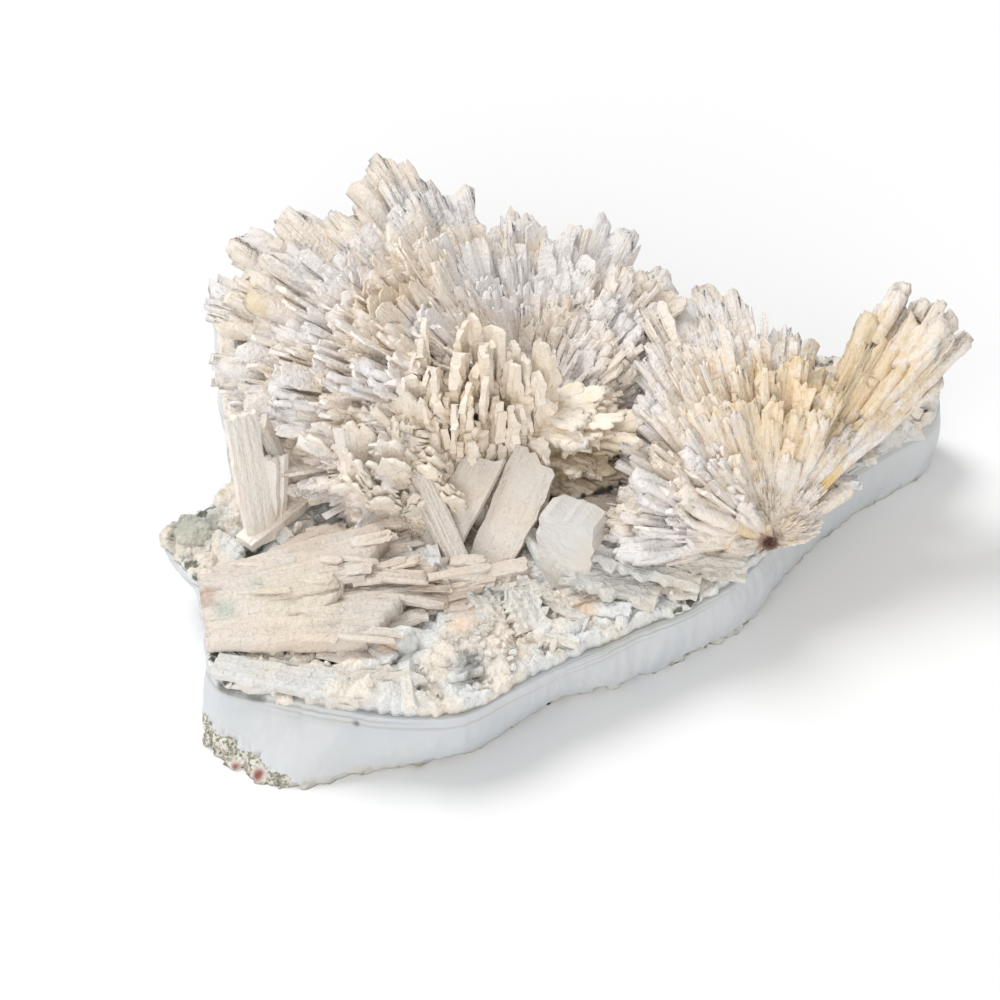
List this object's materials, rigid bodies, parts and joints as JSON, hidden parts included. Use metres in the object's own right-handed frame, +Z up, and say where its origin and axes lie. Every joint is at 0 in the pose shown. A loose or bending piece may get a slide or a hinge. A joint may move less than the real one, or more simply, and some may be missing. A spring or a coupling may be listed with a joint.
{
  "type": "quartz pseudomorph specimen",
  "caption": "Broken chalcedony slab carrying radiating sprays of flat quartz blades on a drusy crust; a display specimen that rests on its flat base.",
  "frame": {"origin": "middle of the specimen's footprint, on the surface it rests on", "axes": "+X along the specimen's longest extent, towards the narrow right end; +Y from the broken front towards the back; +Z up, through the slab's thickness and out of the sprays"},
  "size_m": [0.2412, 0.2128, 0.0931],
  "materials": {
    "chalcedony": "waxy",
    "druse": "rough",
    "lavender_quartz": "matte",
    "yellow_quartz": "matte",
    "cream_quartz": "matte",
    "clear_quartz": "satin"
  },
  "bodies": {
    "root": {"chalcedony_slab": "chalcedony", "drusy_crust": "druse", "great_rosette": "lavender_quartz", "yellow_spray": "yellow_quartz", "lying_fan": "cream_quartz", "left_blades": "cream_quartz", "pillar_blades": "cream_quartz", "crossed_blades": "cream_quartz", "block_crystal": "clear_quartz"}
  },
  "joints": []
}
